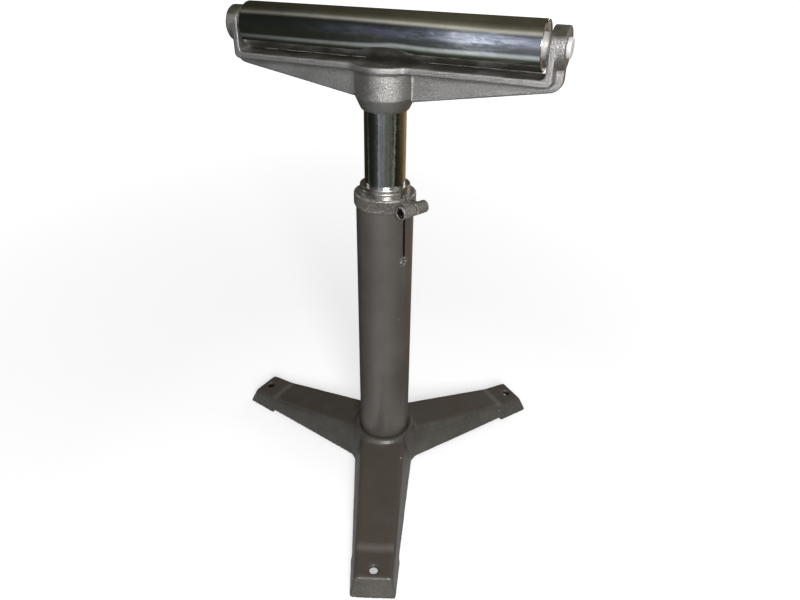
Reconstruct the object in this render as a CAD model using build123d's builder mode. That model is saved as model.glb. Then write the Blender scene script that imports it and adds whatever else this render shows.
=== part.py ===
"""Height-adjustable roller stand: a cast tripod, a split tube with a clamp collar, a sliding post and a
cast T-shaped head that carries one steel roller on ball bearings. Millimetres, +Z up, origin on the floor
under the post's axis, +X along the roller.
"""

import os
from math import cos, hypot, radians, sin

from build123d import *

# Roller and its bearings
roller_diameter = 50.8
roller_length = 355.6
roller_wall = 3.0
axle_diameter = 20.0
axle_stub = 3.6  # axle end that stands out of each boss
bearing_width = 12.0
bearing_recess = 3.0  # bearing face behind the roller's end
ball_count = 9
ball_share = 0.29  # ball's diameter, of the room between the axle and the bearing's outside
race_share = 0.3  # race shoulder on each side of the balls' pitch circle, of a ball's diameter
housing_wall = 1.36  # between the roller's bore and the bearing
housing_depth = 22.0
housing_recess = 1.0  # housing's face behind the roller's end
housing_step = 3.0  # shoulder behind the bearing, inside its outer edge
shield_thickness = 0.5
spacer_diameter = 27.0
roller_edge = 1.0
axle_edge = 1.5

# Head casting
under_roller_gap = 3.7
flange_thickness = 7.5
ear_gap = 6.0  # roller end to ear
ear_thickness = 7.5
boss_diameter = 41.6
boss_length = 8.7
rib_thickness = 10.5
rib_rise = 25.5  # rise of the rib's lower edge from hub to ear
rib_depth = 32.5  # under the flange, at the hub
head_hub_wall = 9.6
head_hub_height = 52.0
head_mouth_wall = 2.35  # at the hub's lower end
head_hub_taper = 15.0
head_bulge = 2.0  # flange past the hub, all round it
post_socket_roof = 8.0
ear_root_fillet = 5.0
ear_corner = 6.0
rib_corner = 14.0
bulge_fillet = 14.0
hub_mouth_fillet = 5.0

# Post and its guides
post_diameter = 50.8
post_wall = 3.2
post_low = 70.5  # lower end above the floor, as the post is clamped
post_extension = 89.0  # post that shows between the bushing and the head, as it is clamped
bushing_wall = 5.88
bushing_height = 50.0
bushing_stand_out = 10.0
guide_ring_height = 18.0
retaining_ring_thickness = 2.0
retaining_ring_width = 4.5
retaining_groove = 1.0
guide_ring_lift = 6.0  # above the post's lower end

# Outer tube and clamp collar
tube_wall = 5.15
tube_foot = 14.0  # tube's lower end above the floor
collar_top = 437.5
collar_height = 17.5
collar_wall = 2.65
collar_lip = 3.0
clamp_slot = 2.4
clamp_turn = -24.0  # direction of the slot, degrees from +X
slot_length = 84.5  # down from the tube's top
slot_relief = 5.0
lug_wall = 1.3  # round the clamp screw's head
lug_half_length = 20.5
lug_web_half = 10.0
lug_stand_off = 11.85  # lugs' axis from the collar's outside
lug_drop = 10.5
lug_end_edge = 0.8
collar_edge = 2.4
bushing_edge = 1.0
clamp_screw_diameter = 8.0
clamp_head_diameter = 13.0
clamp_head_height = 8.0
clamp_head_recess = 1.0
clamp_tip_recess = 2.0
lock_washer_thickness = 2.0

# Tripod base
base_turn = 22.0  # front leg, turned from -Y towards +X
leg_count = 3
leg_root_top = 53.2
leg_root_half = 31.9
leg_root_half_low = 45.0
leg_end_half = 24.4
leg_end_half_low = 29.4
leg_edge = 4.5
leg_wall = 7.0
anchor_hole = 11.0
anchor_circle = 478.0
pad_top = 27.0
pad_back = 26.0  # from an anchor hole's centre in to the start of its pad
pad_front = 12.0  # and out to the pad's upper edge
pad_end_lean = 11.8  # foot of the pad's end past its upper edge
pad_end_edge = 1.8
wall_lift = 5.0  # the walls end this far above the floor, and only the pads touch it
wall_lift_gap = 4.0  # from the end of the lifted walls to the start of the pad
base_hub_wall = 9.5
base_hub_rise = 6.1  # hub above the legs
base_hub_edge = 4.0
base_skirt_flare = 10.0

# Screws
rearward = 90.0  # direction of +Y, degrees from +X
set_screw_diameter = 8.0
set_screw_tip = 1.5
post_screw_spread = 35.0  # degrees each side of the rear
post_screw_drop = 14.0
axle_screw_diameter = 6.0
socket_share = 0.5  # hexagon across its flats, of the screw's diameter
socket_depth = 3.5
base_screw_height = 30.0
screw_sink = 1.0  # outer end below the casting's surface
screw_head_edge = 0.8

# Clearances
running = 0.05  # radial, a turning or sliding fit
seat = 0.02  # radial, a fixed fit
ball_play = 0.3
head_play = 0.4  # screw head in its counterbore
screw_hole_play = 0.5

os.makedirs("parts", exist_ok=True)

# Diameters, heights and reaches that follow from the sizes above
bushing_radius = post_diameter / 2 + running + bushing_wall
tube_bore = 2 * (bushing_radius + seat)
tube_diameter = tube_bore + 2 * tube_wall
tube_top = collar_top - collar_lip
bushing_top = collar_top + bushing_stand_out
slot_end = tube_top - slot_length
collar_radius = tube_diameter / 2 + collar_wall
collar_low = collar_top - collar_height
lug_diameter = clamp_head_diameter + 2 * lug_wall
lug_offset = collar_radius + lug_stand_off
lug_height = collar_top - lug_drop
head_low = bushing_top + post_extension
arm_top = head_low + head_hub_height
arm_low = arm_top - flange_thickness
hub_radius = post_diameter / 2 + head_hub_wall
bulge_radius = hub_radius + head_bulge
post_top = arm_top - post_socket_roof
axis_height = arm_top + under_roller_gap + roller_diameter / 2
ear_inner = roller_length / 2 + ear_gap
ear_outer = ear_inner + ear_thickness
boss_face = ear_outer + boss_length
roller_bore = roller_diameter - 2 * roller_wall
bearing_diameter = roller_bore - 2 * (seat + housing_wall + seat)
ball_diameter = ball_share * (bearing_diameter - axle_diameter)
race_land = race_share * ball_diameter
base_hub_diameter = tube_diameter + 2 * base_hub_wall
base_hub_top = leg_root_top + base_hub_rise
base_skirt_diameter = base_hub_diameter + 2 * base_skirt_flare
leg_root = base_hub_diameter / 2
pad_reach = anchor_circle / 2 - pad_back
pad_end = anchor_circle / 2 + pad_front
leg_reach = pad_end + pad_end_lean
axle_axis = Plane(origin=(0, 0, axis_height), x_dir=(0, 1, 0), z_dir=(1, 0, 0))
along_axle = Plane(origin=(0, 0, axis_height), x_dir=(1, 0, 0), z_dir=(0, -1, 0))
slot_out = Vector(cos(radians(clamp_turn)), sin(radians(clamp_turn)), 0)
lug_along = Vector(sin(radians(clamp_turn)), -cos(radians(clamp_turn)), 0)
lug_axis = Axis((0, 0, 0), lug_along)


def across(x):
    """Plane square to the axle at x: local x runs along +Y and local y up, from the axle's axis."""
    return axle_axis.offset(x)


def facing(angle, height, distance=0.0):
    """Plane that faces outwards at an angle from +X, at a height and a distance from the post's axis."""
    out = Vector(cos(radians(angle)), sin(radians(angle)), 0)
    return Plane(origin=out * distance + Vector(0, 0, height), x_dir=(-out.Y, out.X, 0), z_dir=out)


def lug_plane(distance):
    """Plane square to the clamp screw: local x runs out along the slot and local y up."""
    return Plane(origin=lug_along * distance, x_dir=slot_out, z_dir=lug_along)


def slot_outline(height):
    """Sketch of the clamp slot, from inside the post out past the lugs."""
    with BuildSketch(Plane(origin=(0, 0, height), x_dir=slot_out, z_dir=(0, 0, 1))) as outline:
        with Locations((lug_offset, 0)):
            Rectangle(2 * lug_offset, clamp_slot)
    return outline.sketch


def finish(part, name):
    """Labels a piece and writes it out."""
    part.label = name
    export_step(part, f"parts/{name}.step")
    print(name, round(part.volume))


base_screw_place = facing(base_turn + rearward, base_screw_height, tube_diameter / 2 + seat)
post_screw_places = [
    facing(rearward + side * post_screw_spread, arm_low - post_screw_drop, post_diameter / 2 + running)
    for side in (-1, 1)
]
axle_screw_places = [
    Plane(
        origin=(side * (ear_inner + boss_face) / 2, axle_diameter / 2 + running, axis_height),
        x_dir=(1, 0, 0),
        z_dir=(0, 1, 0),
    )
    for side in (-1, 1)
]

# Tripod base: each leg is a channel open below, with drafted walls and a top that falls to a level pad.
leg_angles = [base_turn - rearward + turn * 360 / leg_count for turn in range(leg_count)]
leg_fall = (leg_root_top - pad_top) / (pad_reach - leg_root)


def leg_top(reach):
    """Height of a leg's top surface at a distance from the post's axis."""
    return pad_top + max(pad_reach - reach, 0) * leg_fall


def leg_half(reach, height):
    """Half a leg's width at a distance from the post's axis and a height above the floor."""
    share = (reach - leg_root) / (leg_reach - leg_root)
    low = leg_root_half_low + (leg_end_half_low - leg_root_half_low) * share
    high = leg_root_half + (leg_end_half - leg_root_half) * share
    return low + (high - low) * height / leg_top(reach)


def leg_section(angle, reach, inset, lean=0.0):
    """Sketch of a leg's outline across the leg, made smaller by inset; lean tips it back over its foot."""
    out = Vector(cos(radians(angle)), sin(radians(angle)), 0)
    side = Vector(-sin(radians(angle)), cos(radians(angle)), 0)
    high = leg_top(reach) - inset
    low = -inset / 4
    slant = hypot(lean, leg_top(reach)) / leg_top(reach)
    tipped = out + Vector(0, 0, lean / leg_top(reach))
    with BuildSketch(Plane(origin=out * reach, x_dir=side, z_dir=tipped)) as section:
        with BuildLine():
            Polyline(
                (-leg_half(reach, low) + inset, low * slant),
                (leg_half(reach, low) - inset, low * slant),
                (leg_half(reach, high) - inset, high * slant),
                (-leg_half(reach, high) + inset, high * slant),
                close=True,
            )
        make_face()
        corner = leg_edge - min(inset, leg_edge / 2)
        fillet(section.vertices().group_by(Axis.Y)[-1], corner)
    return section.sketch


with BuildPart() as base_casting:
    for angle in leg_angles:
        root = leg_section(angle, leg_root / 2, 0)
        pad = leg_section(angle, pad_reach, 0)
        end = leg_section(angle, leg_reach, 0, pad_end_lean)
        loft([root, pad, end], ruled=True)
    end_faces = base_casting.faces().filter_by(
        lambda face: hypot(face.center().X, face.center().Y) > pad_end
    )
    fillet(end_faces.edges().group_by(Axis.Z)[1:], pad_end_edge)
    with BuildSketch(Plane.XZ) as hub_outline:
        with BuildLine():
            Polyline(
                (0, 0),
                (base_skirt_diameter / 2, 0),
                (base_hub_diameter / 2, leg_root_top),
                (base_hub_diameter / 2, base_hub_top),
                (0, base_hub_top),
                close=True,
            )
        make_face()
        fillet(hub_outline.vertices().group_by(Axis.Y)[-1].sort_by(Axis.X)[-1], base_hub_edge)
    revolve(axis=Axis.Z)
    for angle in leg_angles:
        root = leg_section(angle, leg_root / 2, leg_wall)
        pad = leg_section(angle, pad_reach, leg_wall)
        end = leg_section(angle, leg_reach - leg_wall, leg_wall, pad_end_lean)
        loft([root, pad, end], ruled=True, mode=Mode.SUBTRACT)
    with BuildSketch(Plane.XY):
        Circle(base_hub_diameter / 2)
    extrude(amount=base_hub_top - base_hub_edge)
    with BuildSketch(Plane.XY):
        Circle(pad_reach - wall_lift_gap)
    extrude(amount=wall_lift, mode=Mode.SUBTRACT)
    with BuildSketch(Plane.XY.offset(tube_foot)):
        Circle(tube_diameter / 2 + seat)
    extrude(amount=base_hub_top, mode=Mode.SUBTRACT)
    with BuildSketch(Plane.XY):
        Circle(tube_bore / 2)
    extrude(amount=tube_foot, mode=Mode.SUBTRACT)
    with BuildSketch(base_screw_place):
        Circle(set_screw_diameter / 2 + running)
    extrude(amount=base_skirt_diameter, mode=Mode.SUBTRACT)
    with BuildSketch(Plane.XY.offset(pad_top)):
        with PolarLocations(anchor_circle / 2, leg_count, start_angle=leg_angles[0]):
            Circle(anchor_hole / 2)
    extrude(amount=-pad_top, mode=Mode.SUBTRACT)
finish(base_casting.part, "base_casting")

with BuildPart() as outer_tube:
    with BuildSketch(Plane.XY.offset(tube_foot)):
        Circle(tube_diameter / 2)
        Circle(tube_bore / 2, mode=Mode.SUBTRACT)
    extrude(amount=tube_top - tube_foot)
    extrude(slot_outline(slot_end), amount=tube_top - slot_end, mode=Mode.SUBTRACT)
    with BuildSketch(facing(clamp_turn, slot_end)):
        Circle(slot_relief / 2)
    extrude(amount=tube_diameter, mode=Mode.SUBTRACT)
finish(outer_tube.part, "outer_tube")

# Clamp collar: a ring over the tube's end with two barrel lugs, split between them.
head_base = lug_half_length - clamp_head_recess - clamp_head_height
head_seat = head_base - lock_washer_thickness
with BuildPart() as clamp_collar:
    with BuildSketch(lug_plane(-lug_half_length)):
        with Locations((lug_offset, lug_height)):
            Circle(lug_diameter / 2)
    extrude(amount=2 * lug_half_length)
    chamfer(clamp_collar.edges().filter_by(GeomType.CIRCLE), lug_end_edge)
    with BuildSketch(Plane.XY.offset(collar_low)):
        Circle(collar_radius)
    extrude(amount=collar_height)
    fillet(clamp_collar.edges().group_by(Axis.Z)[-1], collar_edge)
    ring_foot = clamp_collar.edges().filter_by(GeomType.CIRCLE).filter_by(
        lambda edge: abs(edge.radius - collar_radius) < seat and abs(edge.center().Z - collar_low) < seat
    )
    chamfer(ring_foot, collar_edge, collar_edge / 2)
    with BuildSketch(lug_plane(-lug_web_half)):
        with Locations((tube_diameter / 2, collar_low + collar_height / 2)):
            Rectangle(2 * collar_wall, collar_height - 2 * collar_edge)
        with Locations((lug_offset, lug_height)):
            Circle(lug_diameter / 2)
        make_hull()
    extrude(amount=2 * lug_web_half)
    with BuildSketch(Plane.XY.offset(collar_low)):
        Circle(tube_diameter / 2 + seat)
    extrude(amount=tube_top - collar_low, mode=Mode.SUBTRACT)
    with BuildSketch(Plane.XY.offset(tube_top)):
        Circle(bushing_radius + seat)
    extrude(amount=collar_lip, mode=Mode.SUBTRACT)
    extrude(slot_outline(collar_low), amount=collar_height, mode=Mode.SUBTRACT)
    with BuildSketch(lug_plane(-lug_half_length)):
        with Locations((lug_offset, lug_height)):
            Circle(clamp_screw_diameter / 2 + running)
    extrude(amount=2 * lug_half_length, mode=Mode.SUBTRACT)
    with BuildSketch(lug_plane(0)):
        with Locations((lug_offset, lug_height)):
            Circle(clamp_screw_diameter / 2 + screw_hole_play)
    extrude(amount=lug_half_length, mode=Mode.SUBTRACT)
    with BuildSketch(lug_plane(head_seat)):
        with Locations((lug_offset, lug_height)):
            Circle(clamp_head_diameter / 2 + head_play)
    extrude(amount=lug_half_length, mode=Mode.SUBTRACT)
finish(clamp_collar.part, "clamp_collar")

# Socket-head screw that draws the two lugs together, with a split washer under its head.
with BuildPart() as clamp_lock_washer:
    with BuildSketch(lug_plane(head_seat)):
        with Locations((lug_offset, lug_height)):
            Circle(clamp_head_diameter / 2)
            Circle(clamp_screw_diameter / 2 + running, mode=Mode.SUBTRACT)
        with Locations((lug_offset + clamp_head_diameter / 2, lug_height)):
            Rectangle(clamp_head_diameter, clamp_slot / 2, mode=Mode.SUBTRACT)
    extrude(amount=lock_washer_thickness)
finish(clamp_lock_washer.part, "clamp_lock_washer")

with BuildPart() as clamp_screw:
    with BuildSketch(lug_plane(head_base)):
        with Locations((lug_offset, lug_height)):
            Circle(clamp_head_diameter / 2)
    extrude(amount=clamp_head_height)
    chamfer(clamp_screw.edges().filter_by(GeomType.CIRCLE).sort_by(lug_axis)[-1], screw_head_edge)
    with BuildSketch(lug_plane(head_base)):
        with Locations((lug_offset, lug_height)):
            Circle(clamp_screw_diameter / 2)
    extrude(amount=clamp_tip_recess - lug_half_length - head_base)
    chamfer(clamp_screw.edges().filter_by(GeomType.CIRCLE).sort_by(lug_axis)[0], screw_head_edge)
    with BuildSketch(lug_plane(head_base + clamp_head_height)):
        with Locations((lug_offset, lug_height)):
            RegularPolygon(clamp_head_diameter * socket_share / 2, 6, major_radius=False)
    extrude(amount=-clamp_head_height / 2, mode=Mode.SUBTRACT)
finish(clamp_screw.part, "clamp_screw")

# Split bushing that the post slides in. The clamp closes it on the post.
with BuildPart() as guide_bushing:
    with BuildSketch(Plane.XY.offset(bushing_top - bushing_height)):
        Circle(bushing_radius)
        Circle(post_diameter / 2 + running, mode=Mode.SUBTRACT)
    extrude(amount=bushing_height)
    chamfer(guide_bushing.edges().group_by(Axis.Z)[-1], bushing_edge)
    extrude(slot_outline(bushing_top - bushing_height), amount=bushing_height, mode=Mode.SUBTRACT)
finish(guide_bushing.part, "guide_bushing")


# Set screws: a threaded stub with a hexagon socket and a narrowed point. Each is placed by the plane at
# its point, which faces outwards.
def set_screws(places, diameter, length):
    """Set screws whose points lie on the given planes."""
    with BuildPart() as screws:
        for place in places:
            with BuildSketch(place):
                Circle(diameter / 2 - set_screw_tip / 2)
            with BuildSketch(place.offset(set_screw_tip)):
                Circle(diameter / 2)
            loft(ruled=True)
            with BuildSketch(place.offset(set_screw_tip)):
                Circle(diameter / 2)
            extrude(amount=length - set_screw_tip)
            with BuildSketch(place.offset(length)):
                RegularPolygon(diameter * socket_share / 2, 6, major_radius=False)
            extrude(amount=-socket_depth, mode=Mode.SUBTRACT)
    return screws.part


base_screw_length = base_hub_diameter / 2 - tube_diameter / 2 - seat
finish(set_screws([base_screw_place], set_screw_diameter, base_screw_length), "base_set_screw")

# Post: a plated tube, fixed in the head, with two grooves near its lower end for retaining rings.
ring_low = post_low + guide_ring_lift
ring_heights = [ring_low - retaining_ring_thickness, ring_low + guide_ring_height]
with BuildPart() as inner_post:
    with BuildSketch(Plane.XY.offset(post_low)):
        Circle(post_diameter / 2)
        Circle(post_diameter / 2 - post_wall, mode=Mode.SUBTRACT)
    extrude(amount=post_top - post_low)
    chamfer(inner_post.edges().group_by(Axis.Z)[0].sort_by(SortBy.LENGTH)[-1], retaining_groove)
    for height in ring_heights:
        with BuildSketch(Plane.XY.offset(height)):
            Circle(post_diameter / 2)
            Circle(post_diameter / 2 - retaining_groove, mode=Mode.SUBTRACT)
        extrude(amount=retaining_ring_thickness, mode=Mode.SUBTRACT)
finish(inner_post.part, "inner_post")

with BuildPart() as guide_retaining_rings:
    for height in ring_heights:
        with BuildSketch(Plane.XY.offset(height)):
            Circle(post_diameter / 2 - retaining_groove + retaining_ring_width)
            Circle(post_diameter / 2 - retaining_groove, mode=Mode.SUBTRACT)
            with Locations((0, post_diameter / 2)):
                Rectangle(2 * retaining_ring_width, 3 * retaining_ring_width, mode=Mode.SUBTRACT)
        extrude(amount=retaining_ring_thickness)
finish(guide_retaining_rings.part, "guide_retaining_rings")

with BuildPart() as guide_ring:
    with BuildSketch(Plane.XY.offset(ring_low + running)):
        Circle(tube_bore / 2 - running)
        Circle(post_diameter / 2 + running, mode=Mode.SUBTRACT)
    extrude(amount=guide_ring_height - 2 * running)
    chamfer(guide_ring.edges().filter_by(GeomType.CIRCLE).sort_by(SortBy.RADIUS)[-2:], bushing_edge)
finish(guide_ring.part, "guide_ring")

# Head: a T-section casting. A flange runs under the roller, a rib stiffens it from below and wraps round
# the ears, and a round hub takes the post.
rib_low = arm_low - rib_depth
rib_slope = rib_rise / (ear_outer - hub_radius)
with BuildPart() as head_casting:
    with BuildSketch(Plane.XY.offset(arm_low)) as flange:
        Rectangle(2 * ear_outer, boss_diameter)
        Circle(bulge_radius)
        fillet(flange.vertices().filter_by(lambda v: abs(v.X) < bulge_radius), bulge_fillet)
    extrude(amount=flange_thickness)
    for side in (-1, 1):
        with BuildSketch(across(side * ear_inner)):
            with Locations((0, (arm_low - axis_height) / 2)):
                Rectangle(boss_diameter, axis_height - arm_low)
            Circle(boss_diameter / 2)
        extrude(amount=side * ear_thickness)
    fillet(
        head_casting.edges().filter_by(Axis.Y).filter_by(
            lambda e: abs(abs(e.center().X) - ear_inner) < seat and abs(e.center().Z - arm_top) < seat
        ),
        ear_root_fillet,
    )
    fillet(
        head_casting.edges().filter_by(Axis.Y).filter_by(
            lambda e: abs(abs(e.center().X) - ear_outer) < seat and abs(e.center().Z - arm_low) < seat
        ),
        ear_corner,
    )
    with BuildSketch(Plane.XZ) as rib:
        with BuildLine():
            Polyline(
                (-boss_face, axis_height),
                (-boss_face, rib_low + rib_slope * (boss_face - hub_radius)),
                (-hub_radius, rib_low),
                (hub_radius, rib_low),
                (boss_face, rib_low + rib_slope * (boss_face - hub_radius)),
                (boss_face, axis_height),
                (ear_inner + ear_thickness / 2, axis_height),
                (ear_inner + ear_thickness / 2, arm_low + flange_thickness / 2),
                (-ear_inner - ear_thickness / 2, arm_low + flange_thickness / 2),
                (-ear_inner - ear_thickness / 2, axis_height),
                close=True,
            )
        make_face()
        outer_corners = rib.vertices().filter_by(lambda v: abs(abs(v.X) - boss_face) < seat and v.Y < arm_low)
        fillet(outer_corners, rib_corner)
    extrude(amount=rib_thickness / 2, both=True)
    for side in (-1, 1):
        with BuildSketch(across(side * ear_outer)):
            Circle(boss_diameter / 2)
        extrude(amount=side * boss_length)
    with BuildSketch(Plane.XZ) as hub_side:
        with BuildLine():
            Polyline(
                (0, head_low),
                (post_diameter / 2 + head_mouth_wall, head_low),
                (hub_radius, head_low + head_hub_taper),
                (hub_radius, arm_low),
                (0, arm_low),
                close=True,
            )
        make_face()
        fillet(hub_side.vertices().filter_by(lambda v: v.X > 0 and v.Y < arm_low), hub_mouth_fillet)
    revolve(axis=Axis.Z)
    with BuildSketch(Plane.XY.offset(head_low)):
        Circle(post_diameter / 2 + seat)
    extrude(amount=post_top - head_low, mode=Mode.SUBTRACT)
    with BuildSketch(across(-boss_face)):
        Circle(axle_diameter / 2 + seat)
    extrude(amount=2 * boss_face, mode=Mode.SUBTRACT)
    for place in post_screw_places:
        with BuildSketch(place):
            Circle(set_screw_diameter / 2 + running)
        extrude(amount=hub_radius, mode=Mode.SUBTRACT)
    for place in axle_screw_places:
        with BuildSketch(place):
            Circle(axle_screw_diameter / 2 + running)
        extrude(amount=boss_diameter, mode=Mode.SUBTRACT)
finish(head_casting.part, "head_casting")
post_screw_length = hub_radius - post_diameter / 2 - screw_sink
axle_screw_length = boss_diameter / 2 - axle_diameter / 2 - screw_sink
finish(set_screws(post_screw_places, set_screw_diameter, post_screw_length), "post_set_screws")
finish(set_screws(axle_screw_places, axle_screw_diameter, axle_screw_length), "axle_set_screws")

# Axle: it doesn't turn. Its ends stand out of the bosses.
with BuildPart() as axle:
    with BuildSketch(across(-boss_face - axle_stub)):
        Circle(axle_diameter / 2)
    extrude(amount=2 * (boss_face + axle_stub))
    fillet(axle.edges(), axle_edge)
finish(axle.part, "axle")

# Roller: a plated tube on a ball bearing at each end.
with BuildPart() as roller_shell:
    with BuildSketch(across(-roller_length / 2)):
        Circle(roller_diameter / 2)
        Circle(roller_bore / 2, mode=Mode.SUBTRACT)
    extrude(amount=roller_length)
    chamfer(roller_shell.edges().filter_by(GeomType.CIRCLE).sort_by(SortBy.RADIUS)[-2:], roller_edge)
finish(roller_shell.part, "roller_shell")

pitch_radius = (bearing_diameter + axle_diameter) / 4
bearing_face = roller_length / 2 - bearing_recess
bearing_middle = bearing_face - bearing_width / 2


def ring_part(low, high, start, end, groove=0.0):
    """Ring round the axle between two radii and two places along it, with the balls' groove if it has one."""
    with BuildPart() as ring:
        with BuildSketch(along_axle):
            with Locations(((start + end) / 2, (low + high) / 2)):
                Rectangle(abs(end - start), high - low)
            if groove:
                with Locations(((start + end) / 2, pitch_radius)):
                    Circle(groove, mode=Mode.SUBTRACT)
        revolve(axis=Axis(along_axle.origin, along_axle.x_dir))
    return ring.part


for side, name in ((-1, "left"), (1, "right")):
    groove = ball_diameter / 2 + ball_play
    face = side * bearing_face
    back = side * (bearing_face - bearing_width)
    with BuildPart() as housing:
        with BuildSketch(across(side * (roller_length / 2 - housing_recess))):
            Circle(roller_bore / 2 - seat)
            Circle(bearing_diameter / 2 + seat, mode=Mode.SUBTRACT)
        extrude(amount=-side * (bearing_recess - housing_recess + bearing_width))
        with BuildSketch(across(back)):
            Circle(roller_bore / 2 - seat)
            Circle(bearing_diameter / 2 - housing_step, mode=Mode.SUBTRACT)
        extrude(amount=-side * (housing_depth - bearing_recess - bearing_width))
    finish(housing.part, f"{name}_bearing_housing")
    outer_race = ring_part(pitch_radius + race_land, bearing_diameter / 2, back, face, groove)
    finish(outer_race, f"{name}_outer_race")
    inner_race = ring_part(axle_diameter / 2 + seat, pitch_radius - race_land, back, face, groove)
    finish(inner_race, f"{name}_inner_race")
    with BuildPart() as balls:
        with Locations(across(side * bearing_middle)):
            with PolarLocations(pitch_radius, ball_count):
                Sphere(ball_diameter / 2)
    finish(balls.part, f"{name}_balls")
    shield = ring_part(pitch_radius - race_land + ball_play, pitch_radius + race_land - seat,
                       face - side * shield_thickness, face)
    finish(shield, f"{name}_bearing_shield")
    spacer = ring_part(axle_diameter / 2 + running, spacer_diameter / 2, face, side * ear_inner)
    finish(spacer, f"{name}_spacer")
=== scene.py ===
"""Looks of a height-adjustable roller stand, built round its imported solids. Metres, +Z up, origin on the
floor under the post, +X along the roller.
"""

import math

import bmesh
import bpy
import numpy as np
from mathutils import Matrix, Vector, noise


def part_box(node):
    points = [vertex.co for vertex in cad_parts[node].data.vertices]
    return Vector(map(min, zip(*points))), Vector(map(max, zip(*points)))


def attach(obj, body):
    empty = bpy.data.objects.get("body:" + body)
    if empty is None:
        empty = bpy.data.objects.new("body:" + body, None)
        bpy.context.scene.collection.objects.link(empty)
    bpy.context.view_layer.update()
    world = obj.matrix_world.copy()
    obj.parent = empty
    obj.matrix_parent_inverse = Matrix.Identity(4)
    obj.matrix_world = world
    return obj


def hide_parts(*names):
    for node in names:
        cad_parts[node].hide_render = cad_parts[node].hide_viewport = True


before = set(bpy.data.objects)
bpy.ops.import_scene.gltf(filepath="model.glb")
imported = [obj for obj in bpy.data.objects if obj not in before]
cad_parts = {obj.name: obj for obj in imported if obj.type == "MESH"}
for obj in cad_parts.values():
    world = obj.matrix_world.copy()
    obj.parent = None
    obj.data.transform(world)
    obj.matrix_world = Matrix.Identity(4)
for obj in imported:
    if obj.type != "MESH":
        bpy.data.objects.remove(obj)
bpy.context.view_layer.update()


# Tripod base: one iron casting, a round hub and three channel legs that end in level pads. It is painted
# with a brown-grey enamel that holds a little metal flake, painted as lighter glints. The paint is chipped in
# a few small specks, and its edges are painted lighter, partly wear, partly painted highlight. The faces that
# look up are painted darker, as painted shade, and a painted highlight crosses each leg's top, just above
# the pad.
base_voxel = 0.0018
base_rounding = 14
base_wave = 0.00022
base_wave_length = 0.014
kink_reach = 0.209
base_brown = (0.069, 0.063, 0.054, 1)
base_grey = (0.098, 0.091, 0.079, 1)
base_top_shade = (0.064, 0.050, 0.037, 1)
kink_highlight_colour = (0.20, 0.185, 0.165, 1)
bare_iron_and_highlight = (0.36, 0.34, 0.32, 1)


def settle(piece):
    """Turns a piece's modifiers into its plain mesh."""
    evaluated = piece.evaluated_get(bpy.context.evaluated_depsgraph_get())
    piece.data = bpy.data.meshes.new_from_object(evaluated)
    piece.modifiers.clear()


def linked(name, data):
    """Object with that data, linked into the scene."""
    piece = bpy.data.objects.new(name, data)
    bpy.context.scene.collection.objects.link(piece)
    return piece


def cast_skin(node, voxel, rounding, wave, wave_length):
    """Copy of a casting's solid with softened edges and the slight unevenness that a sand mould leaves. The
    solid is lifted by half a voxel meanwhile, so that its level faces don't lie on a row of voxels."""
    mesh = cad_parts[node].data.copy()
    between_voxels = Vector((0, 0, voxel / 2))
    shape = bmesh.new()
    shape.from_mesh(mesh)
    bmesh.ops.remove_doubles(shape, verts=shape.verts, dist=1e-6)
    bmesh.ops.translate(shape, verts=shape.verts, vec=between_voxels)
    shape.to_mesh(mesh)
    shape.free()
    piece = linked(f"{node}_skin", mesh)
    mould = piece.modifiers.new("Mould", "REMESH")
    mould.mode = "VOXEL"
    mould.voxel_size = voxel
    softened = piece.modifiers.new("Softened edges", "SMOOTH")
    softened.factor = 0.5
    softened.iterations = rounding
    settle(piece)
    places = np.empty(len(piece.data.vertices) * 3)
    normals = np.empty(len(piece.data.vertices) * 3)
    piece.data.vertices.foreach_get("co", places)
    piece.data.vertex_normals.foreach_get("vector", normals)
    places = places.reshape(-1, 3) - np.array(between_voxels)
    depth = np.array([noise.noise(Vector(place) / wave_length) - 0.5 for place in places])
    places += normals.reshape(-1, 3) * (depth * wave)[:, None]
    lowest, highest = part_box(node)
    places = np.clip(places, np.array(lowest), np.array(highest))
    piece.data.vertices.foreach_set("co", places.ravel())
    piece.data.materials.clear()
    piece.data.shade_smooth()
    return piece


def add_node(tree, kind, inputs=(), **settings):
    """Adds a node, sets its properties and fills its inputs with plain values or other nodes' sockets."""
    node = tree.nodes.new(kind)
    for name, value in settings.items():
        setattr(node, name, value)
    for name, value in dict(inputs).items():
        if isinstance(value, bpy.types.NodeSocket):
            tree.links.new(value, node.inputs[name])
        else:
            node.inputs[name].default_value = value
    return node


def new_group(name, kind, inputs, outputs):
    """Node group, what it is given and what it puts out. A socket has its kind's name or its own value."""
    group = bpy.data.node_groups.new(name, kind)
    for side, sockets in (("INPUT", inputs), ("OUTPUT", outputs)):
        for label, value in sockets.items():
            plain = "Int" if isinstance(value, int) else "Float"
            socket = value if isinstance(value, str) else plain
            made_socket = group.interface.new_socket(label, in_out=side, socket_type=f"NodeSocket{socket}")
            if not isinstance(value, str):
                made_socket.default_value = value
    given = group.nodes.new("NodeGroupInput").outputs
    wanted = group.nodes.new("NodeGroupOutput").inputs
    return group, given, wanted


def add_math(tree, operation, first, second=0.0):
    """Output of a Math node."""
    return add_node(tree, "ShaderNodeMath", {0: first, 1: second}, operation=operation).outputs[0]


def add_vector(tree, operation, *values):
    """Output of a Vector Math node."""
    node = add_node(tree, "ShaderNodeVectorMath", dict(enumerate(values)), operation=operation)
    return node.outputs["Value" if operation in ("LENGTH", "DISTANCE", "DOT_PRODUCT") else "Vector"]


def add_range(tree, value, low, high, to_low=0.0, to_high=1.0):
    """Output of a clamped Map Range node."""
    ends = {"Value": value, "From Min": low, "From Max": high, "To Min": to_low, "To Max": to_high}
    return add_node(tree, "ShaderNodeMapRange", ends).outputs["Result"]


def add_mix(tree, share, first, second):
    """Colour between two colours."""
    ends = {"Factor": share, 6: first, 7: second}
    return add_node(tree, "ShaderNodeMix", ends, data_type="RGBA").outputs[2]


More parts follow.
